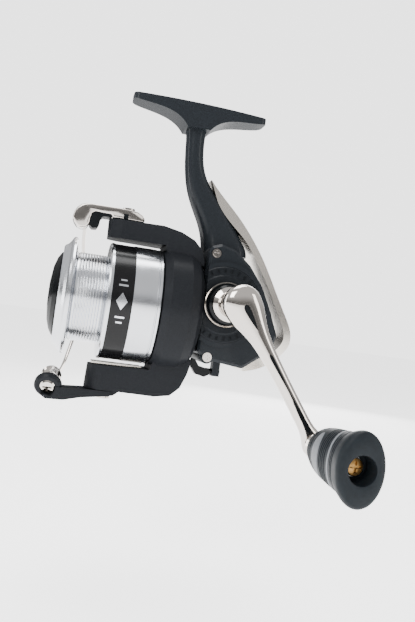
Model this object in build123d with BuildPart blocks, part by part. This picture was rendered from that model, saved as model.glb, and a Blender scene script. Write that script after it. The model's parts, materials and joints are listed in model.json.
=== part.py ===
"""A front-drag spinning reel for light rods: foot, stem and gearbox, side cover, crank and knob, face gear and
pinion, one-way clutch, two-armed rotor with a folding bail and line roller, oscillating spool and drag.

Millimetres, +Z up. The origin is the middle of the foot's top face, where the rod's reel seat bears.
The spool faces -X and the crank handle is on the -Y side.
Outlines are drawn in mechanism coordinates: x from the crank axis and z from the spool axis.
"""

from build123d import *
from math import atan2, cos, degrees, hypot, pi, radians, sin, sqrt
import os

# --- driving dimensions -------------------------------------------------------------------------------
CRANK_X = 18.0          # crank axis, behind the middle of the foot
AXIS_Z = -87.0          # spool axis, below the top of the foot
CRANK_RISE = 4.6        # crank axis above the spool axis, so that the main shaft passes under the crank shaft

FOOT_LENGTH = 57.4
FOOT_WIDTH = 13.6
FOOT_TIP_THICKNESS = 2.4

SPOOL_R = 24.0          # lip and skirt
ARBOR_R = 17.8
BAND_R = 23.0           # seat of the dark band
SKIRT_IN_R = 22.0
STROKE = 11.0           # travel of the spool; it is drawn at the rear end of the stroke

MAIN_SHAFT_R = 1.6
CRANK_SHAFT_R = 2.2
RUN = 0.05              # radial running clearance

PINION_TEETH = 9
DRIVE_TEETH = 45
PINION_PITCH_R = 2.8
PINION_TIP_R = 3.35
PINION_ROOT_R = 2.15
FACE_X = PINION_PITCH_R * DRIVE_TEETH / PINION_TEETH   # where the face teeth meet the pinion
FACE_HALF = 1.2         # half the length of a face tooth
FACE_TIP = 2.3
FACE_ROOT = 3.6
FACE_IN_R = hypot(FACE_X - FACE_HALF, CRANK_RISE) - 0.4
FACE_OUT_R = hypot(FACE_X + FACE_HALF, CRANK_RISE) + 0.3

OSC_MODULE = 0.6
OSC_DRIVER_TEETH = 13
OSC_TEETH = 26
OSC_DISTANCE = OSC_MODULE * (OSC_DRIVER_TEETH + OSC_TEETH) / 2
OSC_X = sqrt(OSC_DISTANCE**2 - CRANK_RISE**2)
OSC_ANGLE = degrees(atan2(-CRANK_RISE, OSC_X))
SLIDER_X = OSC_X + STROKE / 2
SLIDER_HALF = 2.0

BODY_NEAR = 12.0        # half-widths of the gearbox, handle side and far side
BODY_FAR = 13.0
WALL = 1.5
COVER_FACE = 15.2

ARM_HALF_WIDTH = 7.4    # rotor arms at their tips
ARM_INNER_Z = 25.7
UPPER_SEAT_Z = 33.4     # flat seats on the arms for the bail
LOWER_SEAT_Z = -36.2
BAIL_X = -42.0          # bail pivot
BAIL_GAP = 0.3

KNOB_X = 33.6           # knob axis
KNOB_Z = -43.2
KNOB_START = 52.0
KNOB_END = 87.0
CRANK_LENGTH = hypot(KNOB_X, KNOB_Z - CRANK_RISE)
CRANK_ANGLE = degrees(atan2(KNOB_Z - CRANK_RISE, KNOB_X))

# --- planes and axes ----------------------------------------------------------------------------------
SHAFT = Axis((CRANK_X, 0, AXIS_Z), (1, 0, 0))
CRANK = Axis((CRANK_X, 0, AXIS_Z + CRANK_RISE), (0, -1, 0))
OSC = Axis((CRANK_X + OSC_X, 0, AXIS_Z), (0, -1, 0))
KNOB = Axis((CRANK_X + KNOB_X, 0, AXIS_Z + KNOB_Z), (0, -1, 0))
BAIL = Axis((CRANK_X + BAIL_X, 0, AXIS_Z), (0, 0, 1))
SIDE = Plane(origin=(CRANK_X, 0, AXIS_Z), x_dir=(1, 0, 0), z_dir=(0, -1, 0))


def side(out=0.0):
    """The side view, with local x along X and local y up, at a distance out towards the handle."""
    return SIDE.offset(out)


def across(x):
    """The section across the spool axis at x, with local x along Y and local y up."""
    return Plane(origin=(CRANK_X + x, 0, AXIS_Z), x_dir=(0, 1, 0), z_dir=(1, 0, 0))


def facing(x):
    """The section across the spool axis at x, seen from the spool: local x along -Y, local y up."""
    return Plane(origin=(CRANK_X + x, 0, AXIS_Z), x_dir=(0, -1, 0), z_dir=(-1, 0, 0))


def level(z):
    """The plan view at height z above the spool axis, with local x along X and local y along Y."""
    return Plane(origin=(CRANK_X, 0, AXIS_Z + z), x_dir=(1, 0, 0), z_dir=(0, 0, 1))


def radial(x, z):
    """A plane through an axis that runs along -Y at (x, z): local x is outward, local y is up."""
    return Plane(origin=(CRANK_X + x, 0, AXIS_Z + z), x_dir=(0, -1, 0), z_dir=(-1, 0, 0))


def turn(plane, axis, points, mode=Mode.ADD):
    """Revolves a closed outline about an axis."""
    with BuildSketch(plane) as outline:
        with BuildLine():
            Polyline(*points, close=True)
        make_face()
    revolve(outline.sketch, axis=axis, mode=mode)


def tube(plane, axis, start, end, inner, outer, mode=Mode.ADD):
    """A plain ring from start to end along the axis."""
    turn(plane, axis, [(start, inner), (end, inner), (end, outer), (start, outer)], mode)


def on_shaft(start, end, inner, outer, mode=Mode.ADD):
    tube(SIDE, SHAFT, start, end, inner, outer, mode)


def on_crank(start, end, inner, outer, mode=Mode.ADD):
    tube(radial(0, CRANK_RISE), CRANK, start, end, inner, outer, mode)


def on_knob(start, end, inner, outer, mode=Mode.ADD):
    tube(radial(KNOB_X, KNOB_Z), KNOB, start, end, inner, outer, mode)


def block(x0, x1, y0, y1, z0, z1, mode=Mode.ADD):
    """A box between two corners in mechanism coordinates."""
    with Locations((CRANK_X + (x0 + x1) / 2, (y0 + y1) / 2, AXIS_Z + (z0 + z1) / 2)):
        Box(x1 - x0, y1 - y0, z1 - z0, mode=mode)


def slab(plane, points, amount, mode=Mode.ADD, rounding=0.0):
    """Extrudes a closed outline, with its corners rounded in the outline."""
    with BuildSketch(plane) as outline:
        with BuildLine():
            Polyline(*points, close=True)
        make_face()
        if rounding:
            fillet(outline.vertices(), rounding)
    extrude(outline.sketch, amount=amount, mode=mode)


def discs(plane, centres, radius, amount, mode=Mode.ADD):
    """Equal round pegs or holes standing on a plane."""
    with BuildSketch(plane) as circles:
        with Locations(*centres):
            Circle(radius)
    extrude(circles.sketch, amount=amount, mode=mode)


def screws(plane, centres, head_r, head_h, shank_r, length):
    """Cross-head screws whose heads stand on the plane."""
    discs(plane, centres, head_r, head_h)
    discs(plane.offset(head_h), centres, head_r * 0.8, head_h * 0.22)
    discs(plane, centres, shank_r, -length)
    with BuildSketch(plane.offset(head_h * 1.22)) as crosses:
        with Locations(*centres):
            Rectangle(head_r * 1.15, head_r * 0.28)
            Rectangle(head_r * 0.28, head_r * 1.15)
    extrude(crosses.sketch, amount=-head_h * 0.7, mode=Mode.SUBTRACT)


def bearing(plane, axis, start, end, inner, outer):
    """A shielded ball bearing: two races with a shallow shield between them."""
    race = (outer - inner) * 0.27
    dip = 0.2
    turn(plane, axis, [
        (start, inner), (end, inner), (end, inner + race), (end - dip, inner + race),
        (end - dip, outer - race), (end, outer - race), (end, outer), (start, outer),
        (start, outer - race), (start + dip, outer - race), (start + dip, inner + race), (start, inner + race)])


def spur(plane, centre, teeth, module, thickness, first_angle):
    """A spur gear with play between its teeth."""
    pitch_r = teeth * module / 2
    root_r = pitch_r - 1.2 * module
    tip_r = pitch_r + 0.9 * module
    with BuildSketch(plane) as gear:
        with Locations(centre):
            Circle(root_r)
            with PolarLocations(0, teeth, start_angle=first_angle):
                Polygon((root_r - 0.2, -0.5), (root_r, -0.46), (tip_r, -0.17),
                        (tip_r, 0.17), (root_r, 0.46), (root_r - 0.2, 0.5), align=None)
    extrude(gear.sketch, amount=thickness)


def save(name, builder):
    builder.part.label = name
    export_step(builder.part, f"parts/{name}.step")
    print(f"{name:26s} {len(builder.solids())} solids {builder.part.volume:10.1f} mm3")


os.makedirs("parts", exist_ok=True)

# ======================================================================================================
# Body: foot, stem and gearbox in one moulding
# ======================================================================================================
FOOT_FRONT = -CRANK_X - FOOT_LENGTH / 2
FOOT_REAR = -CRANK_X + FOOT_LENGTH / 2
FOOT_TOP = -AXIS_Z
TIP_Z = FOOT_TOP - FOOT_TIP_THICKNESS

GEARBOX = [(-8.4, 27.5), (-4.0, 29.2), (2.5, 27.6), (9.5, 22.0), (15.8, 14.0), (20.6, 4.5), (24.6, -5.0),
           (23.0, -11.5), (11.5, -20.3), (-1.0, -18.8), (-8.4, -16.0)]
SCREWS = [(-5.6, 25.0), (-3.8, -17.4), (18.6, -10.0)]
LUG_R = 2.7
COLLAR_R = 17.4
COLLAR_REAR = -8.3
COLLAR_FRONT = -20.5
ROD_Y = 1.0
ROD_Z = -4.6
ROD_R = 0.8
LEVER_Y = -6.0
LEVER_Z = -23.4
LEVER_PIN_R = 1.2


def gearbox_sketch(plane, inset=0.0, lugs=True):
    with BuildSketch(plane) as outline:
        with BuildLine():
            Polyline(*GEARBOX, close=True)
        make_face()
        fillet(outline.vertices(), 2.2)
        if lugs:
            with Locations(*SCREWS[:2]):
                Circle(LUG_R)
        if inset:
            offset(amount=-inset)
    return outline.sketch


with BuildPart() as foot:
    with BuildSketch(side(-FOOT_WIDTH / 2)) as foot_side:
        with BuildLine():
            Polyline((FOOT_REAR, TIP_Z), (FOOT_REAR, FOOT_TOP), (FOOT_FRONT, FOOT_TOP), (FOOT_FRONT, TIP_Z))
            Spline((FOOT_FRONT, TIP_Z), (-36.0, 83.0), (-28.0, 80.6), (-23.4, 76.6))
            Line((-23.4, 76.6), (-13.4, 76.6))
            Spline((-13.4, 76.6), (-9.5, 80.2), (-1.0, 82.8), (FOOT_REAR, TIP_Z))
        make_face()
    extrude(amount=FOOT_WIDTH)
    with BuildSketch(level(FOOT_TOP - 15)) as foot_plan:
        with BuildLine():
            for s in (1, -1):
                ThreePointArc((FOOT_FRONT, s * 4.6), (-CRANK_X, s * FOOT_WIDTH / 2), (FOOT_REAR, s * 4.6))
            Line((FOOT_FRONT, -4.6), (FOOT_FRONT, 4.6))
            Line((FOOT_REAR, -4.6), (FOOT_REAR, 4.6))
        make_face()
        fillet(foot_plan.vertices(), 2.4)
    extrude(amount=15, mode=Mode.INTERSECT)

STEM = [  # height, front, rear, width, corner rounding
    (80.5, -24.2, -12.6, 10.0, 4.0),
    (75.0, -22.4, -14.4, 9.2, 3.6),
    (66.0, -21.6, -14.0, 9.0, 3.5),
    (57.5, -20.4, -11.4, 9.2, 3.6),
    (50.0, -18.2, -6.2, 10.0, 3.8),
    (42.0, -14.2, 0.4, 11.6, 4.2),
    (34.0, -10.4, 6.2, 14.0, 4.6),
    (26.0, -8.4, 9.6, 17.0, 5.0),
]

with BuildPart() as stem:
    for height, front, rear, width, corner in STEM:
        with BuildSketch(level(height)):
            with Locations(((front + rear) / 2, 0)):
                RectangleRounded(rear - front, width, corner)
    loft()

with BuildPart() as body_frame:
    add(foot.part)
    add(stem.part)
    extrude(gearbox_sketch(side(-BODY_FAR)), amount=BODY_FAR + BODY_NEAR)
    on_shaft(COLLAR_FRONT, COLLAR_REAR, 0.0, COLLAR_R)
    # the hollow for the gears, open on the handle side
    extrude(gearbox_sketch(side(-BODY_FAR + WALL), WALL, lugs=False), amount=BODY_FAR + BODY_NEAR,
            mode=Mode.SUBTRACT)
    on_shaft(COLLAR_FRONT + 2.6, COLLAR_REAR - WALL, 0.0, COLLAR_R - 1.4, Mode.SUBTRACT)
    block(-10.0, -6.0, -11.2, BODY_FAR - WALL, -11.2, 11.2, Mode.SUBTRACT)
    # slot for the rim of the drive gear
    on_crank(2.0, 6.4, 0.0, FACE_OUT_R + 0.4, Mode.SUBTRACT)
    # seat of the pinion bearing in the front wall
    on_shaft(COLLAR_FRONT - 1, -17.0, 0.0, 5.0, Mode.SUBTRACT)
    # seat of the far crank bearing
    on_crank(-BODY_FAR, -8.5, 0.0, 7.4)
    on_crank(-BODY_FAR - 1, -8.0, 0.0, 3.2, Mode.SUBTRACT)
    on_crank(-11.5, -8.0, 0.0, 5.5, Mode.SUBTRACT)
    # cradle that carries the pinion's tail and the front of the guide rod
    block(-12.2, -10.2, -1.9, COLLAR_R - 1.2, -6.2, 3.6)
    on_shaft(-12.5, -10.0, 0.0, 2.1 + RUN, Mode.SUBTRACT)
    # posts for the cover screws
    discs(side(-BODY_FAR + WALL / 2), SCREWS, 2.4, BODY_FAR - WALL / 2 + BODY_NEAR)
    discs(side(BODY_NEAR + 0.1), SCREWS, 1.05, -12.0, Mode.SUBTRACT)
    # stud for the oscillation gear
    discs(side(-BODY_FAR + WALL / 2), [(OSC_X, 0)], 2.6, 4.0)
    discs(side(-BODY_FAR + WALL / 2), [(OSC_X, 0)], 1.5, 7.0)
    # lug below the gearbox that carries the anti-reverse lever
    block(0.6, 3.8, LEVER_Y - 2.2, LEVER_Y + 2.2, -25.2, -17.5)
    discs(across(0.0), [(LEVER_Y, LEVER_Z)], LEVER_PIN_R + RUN, 5.0, Mode.SUBTRACT)
    # blind hole for the rear end of the guide rod
    discs(across(-13.0), [(ROD_Y, ROD_Z)], ROD_R, 36.4, Mode.SUBTRACT)
save("body_frame", body_frame)

with BuildPart() as guide_rod:
    discs(across(-12.2), [(ROD_Y, ROD_Z)], ROD_R, 35.6)
save("guide_rod", guide_rod)

# ======================================================================================================
# Side cover, its disc and screws, the rear guard and the bearings
# ======================================================================================================
with BuildPart() as cover_blank:
    extrude(gearbox_sketch(side(BODY_NEAR)), amount=COVER_FACE - BODY_NEAR)
    rim = cover_blank.faces().sort_by(Axis.Y)[0].edges()
    chamfer(rim, 1.1)

DISC_R = 15.5
with BuildPart() as side_cover:
    add(cover_blank.part)
    on_crank(BODY_NEAR, COVER_FACE + 1.2, 0.0, DISC_R + 1.9)
    on_crank(9.4, BODY_NEAR + 0.2, 0.0, 6.8)
    on_crank(9.0, 13.6, 0.0, 5.5, Mode.SUBTRACT)
    on_crank(9.0, 18.0, 0.0, 3.2, Mode.SUBTRACT)
    on_crank(COVER_FACE + 0.4, COVER_FACE + 2.0, 0.0, DISC_R + 0.1, Mode.SUBTRACT)
    discs(side(COVER_FACE - 1.0), SCREWS[:2], 2.1, 4.0, Mode.SUBTRACT)
    discs(side(COVER_FACE - 1.0), SCREWS[2:], 2.1, 4.0, Mode.SUBTRACT)
    discs(side(BODY_NEAR - 0.5), SCREWS, 1.05, 4.0, Mode.SUBTRACT)
    block(COLLAR_REAR, 40.0, -30.0, 30.0, -40.0, 40.0, Mode.INTERSECT)
save("side_cover", side_cover)

TICKS = 30
with BuildPart() as cover_disc:
    turn(radial(0, CRANK_RISE), CRANK, [
        (COVER_FACE + 0.4, 3.4), (COVER_FACE + 2.2, 3.4), (COVER_FACE + 2.2, 11.6), (COVER_FACE + 1.7, 12.2),
        (COVER_FACE + 1.7, DISC_R - 0.4), (COVER_FACE + 1.3, DISC_R), (COVER_FACE + 0.4, DISC_R)])
    with BuildSketch(side(COVER_FACE + 1.7)) as ticks:
        with Locations((0, CRANK_RISE)):
            with PolarLocations(DISC_R - 1.6, TICKS):
                Rectangle(1.5, 0.5)
    extrude(ticks.sketch, amount=0.3)
    block(COLLAR_REAR, 40.0, -30.0, 30.0, -40.0, 40.0, Mode.INTERSECT)
save("cover_disc", cover_disc)

with BuildPart() as side_cover_screws:
    screws(side(COVER_FACE - 1.0), SCREWS, 1.9, 0.9, 0.95, 10.0)
save("side_cover_screws", side_cover_screws)

GUARD_OUTER = [(-9.6, 56.8), (-3.2, 49.9), (3.6, 43.2), (10.7, 34.7), (16.5, 26.0), (22.7, 14.5), (28.3, 4.2),
               (31.9, -4.2), (31.6, -8.6), (29.0, -12.6), (24.4, -17.1), (19.3, -20.0), (13.5, -21.6)]
GUARD_INNER = [(13.0, -20.0), (22.4, -13.8), (27.0, -10.0), (28.8, -6.4), (26.4, 1.8), (20.0, 14.1), (13.4, 25.0),
               (8.4, 32.4), (2.6, 38.0), (-6.0, 48.0)]
with BuildPart() as rear_guard:
    with BuildSketch(side(-12.5)) as guard_side:
        with BuildLine():
            Polyline((GUARD_INNER[-1]), GUARD_OUTER[0])
            Spline(*GUARD_OUTER)
            Line(GUARD_OUTER[-1], GUARD_INNER[0])
            Spline(*GUARD_INNER)
        make_face()
    extrude(guard_side.sketch, amount=25.0)
    with BuildSketch(across(-20.0)) as guard_front:
        with BuildLine():
            for s in (1, -1):
                Spline((s * 3.6, 60.0), (s * 5.0, 46.0), (s * 7.4, 30.0), (s * 10.4, 6.0), (s * 10.6, -10.0),
                       (s * 8.0, -24.0))
            Line((3.6, 60.0), (-3.6, 60.0))
            Line((8.0, -24.0), (-8.0, -24.0))
        make_face()
    extrude(guard_front.sketch, amount=60.0, mode=Mode.INTERSECT)
    add(body_frame.part, mode=Mode.SUBTRACT)
save("rear_guard", rear_guard)

with BuildPart() as handle_side_bearing:
    bearing(radial(0, CRANK_RISE), CRANK, 10.8, 13.6, CRANK_SHAFT_R + RUN, 5.5)
save("handle_side_bearing", handle_side_bearing)

with BuildPart() as far_side_bearing:
    bearing(radial(0, CRANK_RISE), CRANK, -11.5, -8.9, CRANK_SHAFT_R + RUN, 5.5)
save("far_side_bearing", far_side_bearing)

with BuildPart() as pinion_bearing:
    bearing(SIDE, SHAFT, COLLAR_FRONT, COLLAR_FRONT + 2.6, 3.0 + RUN, 5.0)
save("pinion_bearing", pinion_bearing)

# ======================================================================================================
# One-way clutch in front of the gearbox, and the anti-reverse lever
# ======================================================================================================
CLUTCH_FRONT = -28.6
SLEEVE_R = 4.6
ROLLERS = 8
ROLLER_R = 0.85
EARS = [(12.8 * cos(radians(a)), 12.8 * sin(radians(a))) for a in (90, 210, 330)]
with BuildPart() as clutch_housing:
    turn(SIDE, SHAFT, [(COLLAR_FRONT, 6.6), (CLUTCH_FRONT, 6.6), (CLUTCH_FRONT, 10.0), (-22.4, 11.0), (-22.4, 13.4),
                       (COLLAR_FRONT, 13.4)])
    discs(across(-22.4), EARS, 2.6, 1.9)
    on_shaft(COLLAR_FRONT - 0.1, -24.0, 0.0, 6.6, Mode.SUBTRACT)
    discs(across(-24.0), EARS, 0.8, 4.0, Mode.SUBTRACT)
save("clutch_housing", clutch_housing)

with BuildPart() as clutch_screws:
    screws(facing(-22.4), [(-y, z) for y, z in EARS], 1.6, 0.8, 0.8, 1.8)
save("clutch_screws", clutch_screws)

with BuildPart() as clutch_rollers:
    with BuildSketch(across(CLUTCH_FRONT + 0.8)) as rollers:
        with PolarLocations(SLEEVE_R + ROLLER_R + RUN, ROLLERS):
            Circle(ROLLER_R)
    extrude(rollers.sketch, amount=5.6)
save("clutch_rollers", clutch_rollers)

with BuildPart() as clutch_cage:
    on_shaft(CLUTCH_FRONT + 0.7, CLUTCH_FRONT + 6.5, SLEEVE_R + 0.35, 6.6)
    with BuildSketch(across(CLUTCH_FRONT)) as windows:
        with PolarLocations(SLEEVE_R + ROLLER_R + RUN, ROLLERS):
            Circle(ROLLER_R)
    extrude(windows.sketch, amount=7.0, mode=Mode.SUBTRACT)
save("clutch_cage", clutch_cage)

LEVER = [(-8.5, -18.6), (-6.9, -19.2), (-5.2, -21.6), (-0.4, -22.6), (-0.3, -24.8), (-2.4, -26.0), (-6.2, -25.2),
         (-8.0, -22.8)]
with BuildPart() as anti_reverse_lever:
    slab(side(-LEVER_Y - 1.8), LEVER, 3.6, rounding=0.6)
    discs(across(-4.0), [(LEVER_Y, LEVER_Z)], LEVER_PIN_R, 8.2)
save("anti_reverse_lever", anti_reverse_lever)

# ======================================================================================================
# Crank: shaft, gears, collar, arm, cap
# ======================================================================================================
with BuildPart() as crank_shaft:
    on_crank(-14.6, 36.0, 0.0, CRANK_SHAFT_R)
save("crank_shaft", crank_shaft)

with BuildPart() as face_tooth:
    tooth_plane = Plane(origin=(CRANK_X - FACE_X - FACE_HALF, 0, AXIS_Z), x_dir=(0, 0, 1), z_dir=(1, 0, 0))
    with BuildSketch(tooth_plane):
        with BuildLine():
            Polyline((-0.42, FACE_ROOT + 0.2), (-0.40, FACE_ROOT), (-0.14, FACE_TIP), (0.14, FACE_TIP),
                     (0.40, FACE_ROOT), (0.42, FACE_ROOT + 0.2), close=True)
        make_face()
    extrude(amount=2 * FACE_HALF)

with BuildPart() as drive_gear:
    turn(radial(0, CRANK_RISE), CRANK, [
        (3.4, CRANK_SHAFT_R), (9.0, CRANK_SHAFT_R), (9.0, 4.2), (5.4, 4.6), (5.2, 6.0), (5.2, 12.2),
        (5.8, FACE_IN_R - 0.4), (5.8, FACE_OUT_R), (FACE_ROOT, FACE_OUT_R), (FACE_ROOT, FACE_IN_R),
        (4.1, FACE_IN_R - 1.0), (4.1, 6.0), (3.4, 5.0)])
    with BuildSketch(side(3.0)) as windows:
        with Locations((0, CRANK_RISE)):
            with PolarLocations(8.6, 6):
                Circle(1.9)
    extrude(windows.sketch, amount=3.0, mode=Mode.SUBTRACT)
    add([face_tooth.part.rotate(CRANK, 360 * i / DRIVE_TEETH) for i in range(DRIVE_TEETH)])
save("drive_gear", drive_gear)

with BuildPart() as oscillation_drive_gear:
    spur(side(-8.0), (0, CRANK_RISE), OSC_DRIVER_TEETH, OSC_MODULE, 2.8, OSC_ANGLE)
    on_crank(-5.3, -4.0, 0.0, 3.0)
    on_crank(-9.0, -3.0, 0.0, CRANK_SHAFT_R, Mode.SUBTRACT)
save("oscillation_drive_gear", oscillation_drive_gear)

with BuildPart() as handle_collar:
    turn(radial(0, CRANK_RISE), CRANK, [
        (17.9, CRANK_SHAFT_R), (24.6, CRANK_SHAFT_R), (24.6, 6.6), (23.6, 7.8), (21.6, 8.5), (18.9, 8.8), (17.9, 8.5)])
save("handle_collar", handle_collar)

with BuildPart() as collar_ring:
    on_crank(19.4, 20.6, 8.0, 9.05)
    add(handle_collar.part, mode=Mode.SUBTRACT)
save("collar_ring", collar_ring)

with BuildPart() as handle_neck:
    turn(radial(0, CRANK_RISE), CRANK, [
        (24.6, CRANK_SHAFT_R), (36.0, CRANK_SHAFT_R), (36.0, 0.0), (40.2, 0.0), (40.2, 6.6), (37.0, 5.4), (30.0, 4.7),
        (27.4, 5.2), (26.4, 6.9), (24.6, 6.9)])
save("handle_neck", handle_neck)

POST_R = 2.0
with BuildPart() as knob_post:
    on_knob(44.0, 47.2, 0.0, 2.6)
    turn(radial(KNOB_X, KNOB_Z), KNOB, [(49.4, 0.0), (49.4, 4.9), (50.2, 4.9), (51.7, 4.0), (51.7, POST_R),
                                        (80.0, POST_R), (80.0, 0.0)])
    on_knob(47.0, 50.0, 0.0, 2.6)
save("knob_post", knob_post)

ARM_DIR = (cos(radians(CRANK_ANGLE)), sin(radians(CRANK_ANGLE)))


def along(s, offset_side=0.0):
    """A point in the side view at distance s along the handle arm."""
    return (ARM_DIR[0] * s - ARM_DIR[1] * offset_side, CRANK_RISE + ARM_DIR[1] * s + ARM_DIR[0] * offset_side)


ARM_PLANE = Plane(origin=(CRANK_X, 0, AXIS_Z + CRANK_RISE), x_dir=(ARM_DIR[0], 0, ARM_DIR[1]),
                  z_dir=(ARM_DIR[1], 0, -ARM_DIR[0]))
ARM_WIDTHS = [(6.0, 6.4), (14.0, 5.0), (26.0, 4.2), (40.0, 3.7), (CRANK_LENGTH, 3.6)]
with BuildPart() as handle_arm:
    with BuildSketch(side(38.0)) as arm_side:
        with BuildLine():
            left = [along(s, -w) for s, w in ARM_WIDTHS]
            right = [along(s, w) for s, w in ARM_WIDTHS]
            Spline(*left)
            Spline(*right)
            Line(left[0], right[0])
            Line(left[-1], right[-1])
        make_face()
        with Locations((0, CRANK_RISE)):
            Circle(7.3)
        with Locations((KNOB_X, KNOB_Z)):
            Circle(4.9)
    extrude(arm_side.sketch, amount=14.0)
    with BuildSketch(ARM_PLANE) as arm_profile:
        with BuildLine():
            Polyline((CRANK_LENGTH + 8, 49.4), (CRANK_LENGTH + 8, 44.6))
            Spline((CRANK_LENGTH + 8, 44.6), (40.0, 44.4), (20.0, 42.8), (8.0, 40.4), (-9.0, 40.2))
            Line((-9.0, 40.2), (-9.0, 46.4))
            Spline((-9.0, 46.4), (0.0, 47.6), (9.0, 46.8), (20.0, 47.4), (40.0, 49.0), (CRANK_LENGTH + 8, 49.4))
        make_face()
    extrude(arm_profile.sketch, amount=20.0, both=True, mode=Mode.INTERSECT)
    outer_rim = handle_arm.edges().filter_by(lambda e: e.center().Y < -45.8 and e.length > 6)
    try:
        chamfer(outer_rim, 1.0)
    except Exception:
        print("handle arm rim left sharp")
    # the long groove and the drop-shaped window, both on the outer face
    with BuildSketch(side(46.0)) as groove:
        with BuildLine():
            Polyline(along(19.0, 1.9), along(50.0, 1.1), along(50.0, -1.1), along(19.0, -1.9), close=True)
        make_face()
        fillet(groove.vertices(), 0.9)
    extrude(groove.sketch, amount=6.0, mode=Mode.SUBTRACT)
    with BuildSketch(side(45.0)) as drop:
        with BuildLine():
            Polyline(along(1.0, 2.6), along(15.0, 1.1), along(15.0, -1.1), along(1.0, -2.6), close=True)
        make_face()
        fillet(drop.vertices(), 1.0)
    extrude(drop.sketch, amount=6.0, mode=Mode.SUBTRACT)
    add(handle_neck.part, mode=Mode.SUBTRACT)
    add(knob_post.part, mode=Mode.SUBTRACT)
save("handle_arm", handle_arm)

with BuildPart() as arm_inlays:
    extrude(groove.sketch, amount=0.6)
    extrude(drop.sketch, amount=0.6)
save("arm_inlays", arm_inlays)

with BuildPart() as handle_cap:
    turn(radial(0, CRANK_RISE), CRANK, [
        (-14.6, CRANK_SHAFT_R), (-13.4, CRANK_SHAFT_R), (-13.4, 6.4), (-14.6, 7.0), (-16.4, 6.4), (-17.2, 4.6),
        (-17.2, 0.0), (-14.6, 0.0)])
    with BuildSketch(side(-18.0)) as coin_slot:
        with Locations((0, CRANK_RISE)):
            Rectangle(7.0, 1.2)
    extrude(coin_slot.sketch, amount=1.8, mode=Mode.SUBTRACT)
save("handle_cap", handle_cap)

# ======================================================================================================
# Knob on its post
# ======================================================================================================
with BuildPart() as knob_screw:
    on_knob(80.0, 81.6, 0.0, 3.2)
    on_knob(81.6, 82.0, 0.0, 2.6)
    with BuildSketch(side(82.0)) as knob_cross:
        with Locations((KNOB_X, KNOB_Z)):
            Rectangle(3.6, 0.8)
            Rectangle(0.8, 3.6)
    extrude(knob_cross.sketch, amount=-1.0, mode=Mode.SUBTRACT)
save("knob_screw", knob_screw)

KNOB_SECTIONS = [(KNOB_START, 4.6, 5.2), (58.0, 5.4, 6.4), (66.0, 6.0, 7.6), (74.0, 6.8, 9.3), (81.0, 7.8, 11.4),
                 (85.6, 8.3, 12.4), (KNOB_END, 7.5, 11.6)]


def knob_loft(inset):
    with BuildPart() as shape:
        for out, half_x, half_z in KNOB_SECTIONS:
            with BuildSketch(side(out)):
                with Locations((KNOB_X, KNOB_Z)):
                    Ellipse(half_x - inset, half_z - inset)
        loft()
    return shape.part


def knob_half(out):
    """Half-width and half-height of the knob at a distance out."""
    for (a, ax, az), (b, bx, bz) in zip(KNOB_SECTIONS, KNOB_SECTIONS[1:]):
        if a <= out <= b:
            t = (out - a) / (b - a)
            return ax + (bx - ax) * t, az + (bz - az) * t
    return KNOB_SECTIONS[-1][1:]


KNOB_BORE = 3.4
with BuildPart() as inlay_prism:
    with BuildSketch(Plane(origin=(CRANK_X + KNOB_X - 15, -72.0, AXIS_Z + KNOB_Z), x_dir=(0, -1, 0),
                           z_dir=(-1, 0, 0))) as ovals:
        Ellipse(7.0, 3.4)
    extrude(ovals.sketch, amount=-30.0)

with BuildPart() as knob_inlays:
    add(knob_loft(-0.12))
    add(inlay_prism.part, mode=Mode.INTERSECT)
    add(knob_loft(0.7), mode=Mode.SUBTRACT)
save("knob_inlays", knob_inlays)

with BuildPart() as knob_grip:
    add(knob_loft(0.0))
    for out in [first + step * 1.3 for first in (54.0, 83.0) for step in range(3)] + [62.2, 63.5]:
        half_x, half_z = knob_half(out)
        with BuildSketch(side(out)) as ring:
            with Locations((KNOB_X, KNOB_Z)):
                Ellipse(half_x + 4, half_z + 4)
                Ellipse(half_x - 0.4, half_z - 0.4, mode=Mode.SUBTRACT)
        extrude(ring.sketch, amount=0.55, mode=Mode.SUBTRACT)
    add(knob_inlays.part, mode=Mode.SUBTRACT)
    on_knob(KNOB_START - 1, 79.4, 0.0, KNOB_BORE, Mode.SUBTRACT)
    on_knob(79.2, KNOB_END + 1, 0.0, 4.8, Mode.SUBTRACT)
save("knob_grip", knob_grip)

with BuildPart() as knob_core:
    on_knob(KNOB_START + 3.0, 76.4, 2.6, KNOB_BORE)
save("knob_core", knob_core)

with BuildPart() as knob_bushes:
    on_knob(KNOB_START, KNOB_START + 3.0, POST_R + RUN, KNOB_BORE)
    on_knob(76.4, 79.4, POST_R + RUN, KNOB_BORE)
save("knob_bushes", knob_bushes)

# ======================================================================================================
# Oscillation gear
# ======================================================================================================
with BuildPart() as oscillation_gear:
    spur(side(-8.0), (OSC_X, 0), OSC_TEETH, OSC_MODULE, 2.8, OSC_ANGLE + 180 + 180 / OSC_TEETH)
    discs(side(-9.0), [(OSC_X, 0)], 1.5 + RUN, 5.0, Mode.SUBTRACT)
    discs(side(-5.4), [(OSC_X + STROKE / 2, 0)], 0.9, 1.1)
save("oscillation_gear", oscillation_gear)

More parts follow.
